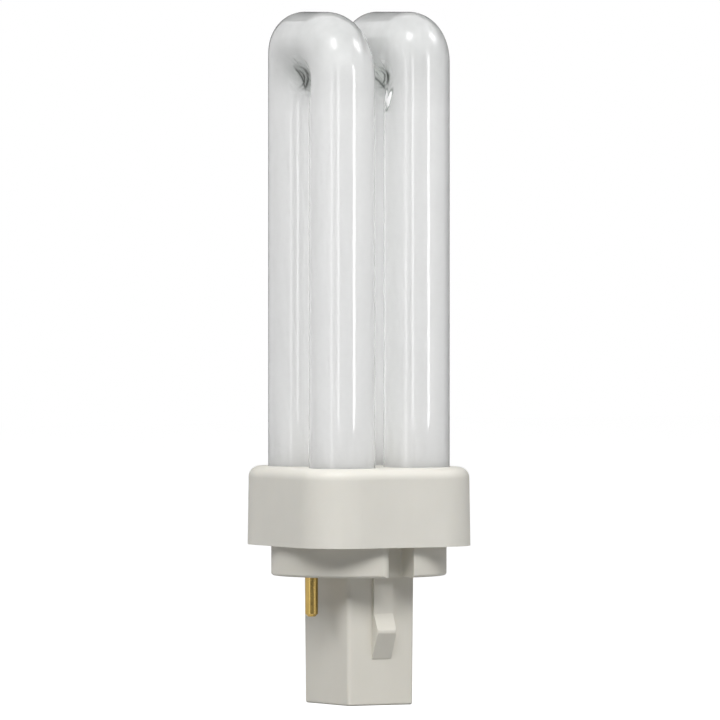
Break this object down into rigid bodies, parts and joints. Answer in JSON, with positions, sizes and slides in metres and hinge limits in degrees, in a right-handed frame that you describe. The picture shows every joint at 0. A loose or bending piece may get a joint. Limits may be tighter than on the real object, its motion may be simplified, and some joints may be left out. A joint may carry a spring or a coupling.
{
  "type": "compact fluorescent lamp",
  "caption": "Plug-in compact fluorescent lamp: two parallel bent white glass tubes in a square plastic collar, on a cap with a latching post and brass contact pins.",
  "frame": {"origin": "centre of the cap's seat, on the lamp's axis in the plane of the disc's underside", "axes": "+Z along the lamp from the cap to the glass, +Y from the front legs to the back legs along each bend, +X across the two tubes"},
  "size_m": [0.0344, 0.0344, 0.1258],
  "materials": {
    "phosphor_glass": "glossy clear glass over a white phosphor coating",
    "collar_plastic": "satin ivory moulding",
    "cap_plastic": "satin ivory moulding",
    "cement": "rough white cement",
    "pin_brass": "turned brass",
    "starter_glass": "clear glass bottle",
    "capacitor_resin": "dipped resin",
    "lead_wire": "tinned wire"
  },
  "bodies": {
    "root": {"discharge_tube": "phosphor_glass", "collar": "collar_plastic", "tube_cement": "cement", "cap_base": "cap_plastic", "contact_pin_left": "pin_brass", "contact_pin_right": "pin_brass", "glow_starter": "starter_glass", "starter_capacitor": "capacitor_resin", "pin_lead_left": "lead_wire", "pin_lead_right": "lead_wire", "starter_lead_left": "lead_wire", "starter_lead_right": "lead_wire"}
  },
  "joints": []
}
